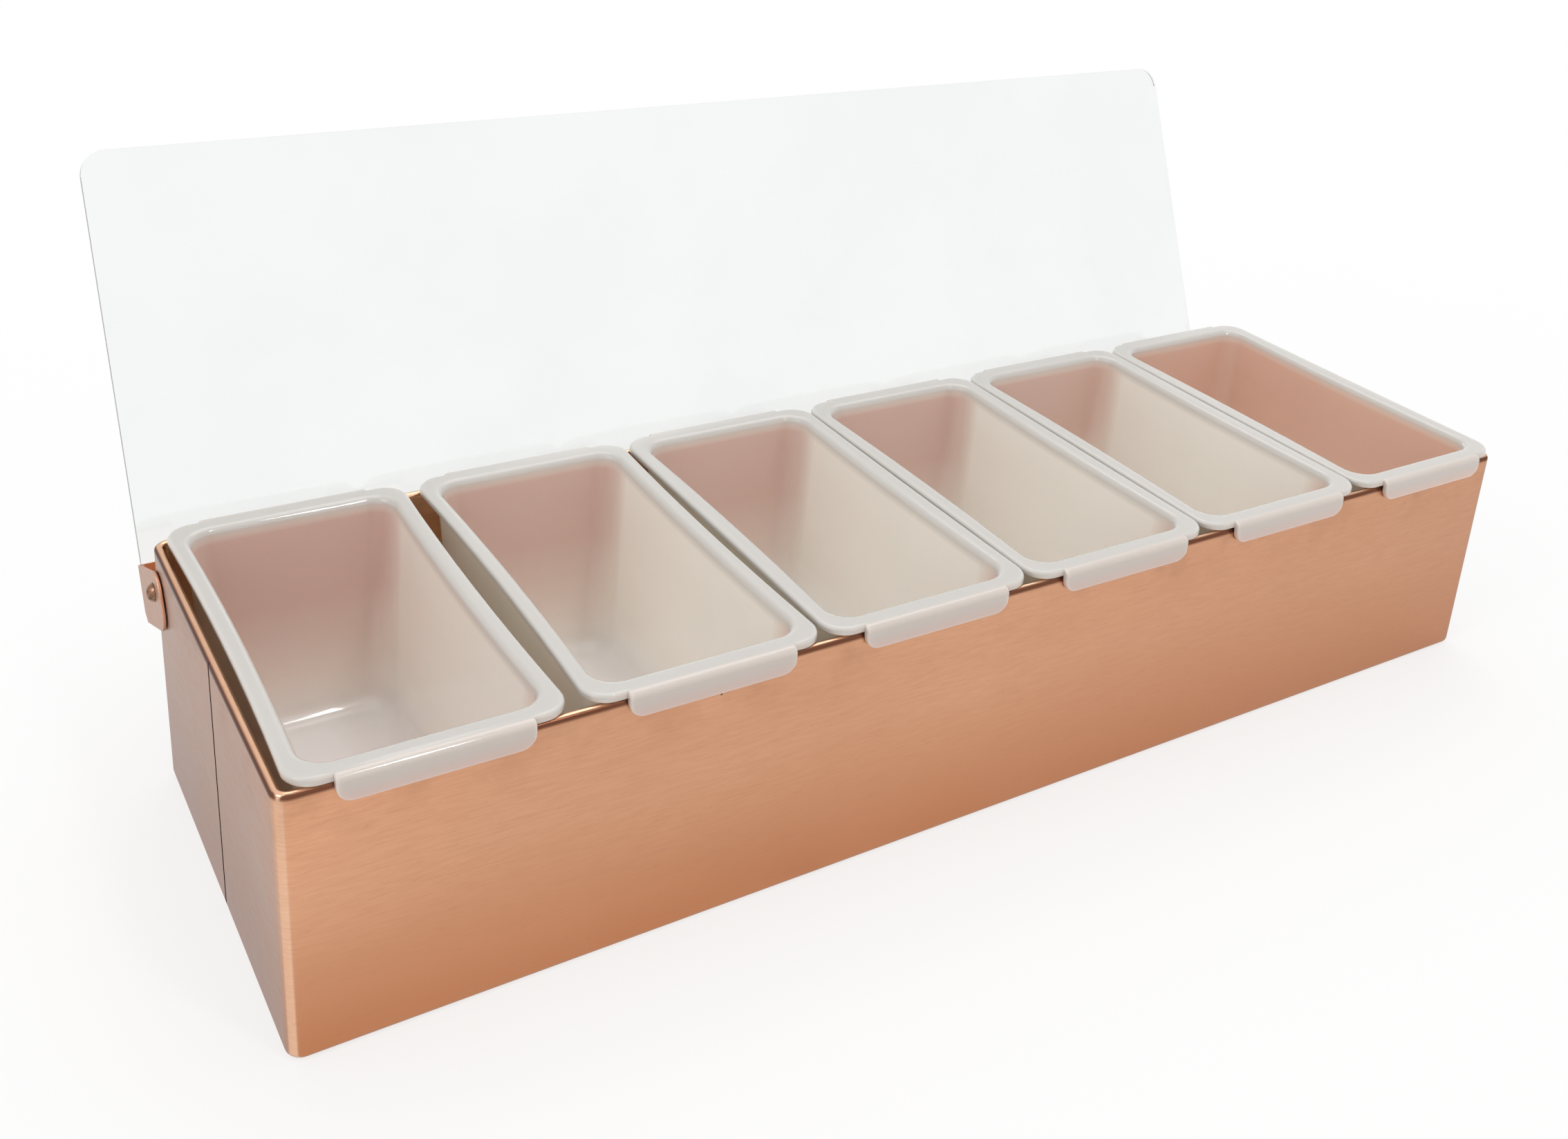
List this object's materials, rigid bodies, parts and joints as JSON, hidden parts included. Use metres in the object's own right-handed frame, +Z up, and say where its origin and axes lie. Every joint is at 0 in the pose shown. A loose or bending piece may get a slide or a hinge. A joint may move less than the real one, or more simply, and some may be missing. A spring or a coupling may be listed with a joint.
{
  "type": "condiment caddy",
  "caption": "Long copper-plated sheet box with a rolled hem, a row of lift-out milky plastic pans hung by moulded lips, and a clear lid that flips back on a folded hinge rail.",
  "frame": {"origin": "middle of the flat underside of the base, on the surface the caddy stands on", "axes": "+X to the right along the row of pans, +Y to the back, where the lid is hinged, +Z up"},
  "size_m": [0.5026, 0.2352, 0.2011],
  "materials": {
    "copper_sheet": "copper-plated, brushed lengthways, hem polished",
    "milky_plastic": "milky, slightly translucent, satin moulded",
    "clear_acrylic": "clear sheet with polished edges",
    "rivet_metal": "dark domed heads"
  },
  "bodies": {
    "box": {"body_wrap": "copper_sheet", "base_plate": "copper_sheet", "pivot_rivets": "rivet_metal", "pivot_washers": "copper_sheet"},
    "lid": {"hinge_rail": "copper_sheet", "lid_panel": "clear_acrylic", "lid_rivets": "rivet_metal"},
    "pan_1_body": {"pan_1": "milky_plastic"},
    "pan_2_body": {"pan_2": "milky_plastic"},
    "pan_3_body": {"pan_3": "milky_plastic"},
    "pan_4_body": {"pan_4": "milky_plastic"},
    "pan_5_body": {"pan_5": "milky_plastic"},
    "pan_6_body": {"pan_6": "milky_plastic"}
  },
  "joints": [
    {"name": "lid_hinge", "type": "hinge", "parent": "box", "child": "lid", "pos_m": [0, 0.07, 0.0735], "axis": [-1, 0, 0], "range_deg": [-116, 0]},
    {"name": "pan_1_lift", "type": "slide", "parent": "box", "child": "pan_1_body", "axis": [0, 0, 1], "range_m": [0, 0.1]},
    {"name": "pan_2_lift", "type": "slide", "parent": "box", "child": "pan_2_body", "axis": [0, 0, 1], "range_m": [0, 0.1]},
    {"name": "pan_3_lift", "type": "slide", "parent": "box", "child": "pan_3_body", "axis": [0, 0, 1], "range_m": [0, 0.1]},
    {"name": "pan_4_lift", "type": "slide", "parent": "box", "child": "pan_4_body", "axis": [0, 0, 1], "range_m": [0, 0.1]},
    {"name": "pan_5_lift", "type": "slide", "parent": "box", "child": "pan_5_body", "axis": [0, 0, 1], "range_m": [0, 0.1]},
    {"name": "pan_6_lift", "type": "slide", "parent": "box", "child": "pan_6_body", "axis": [0, 0, 1], "range_m": [0, 0.1]}
  ]
}
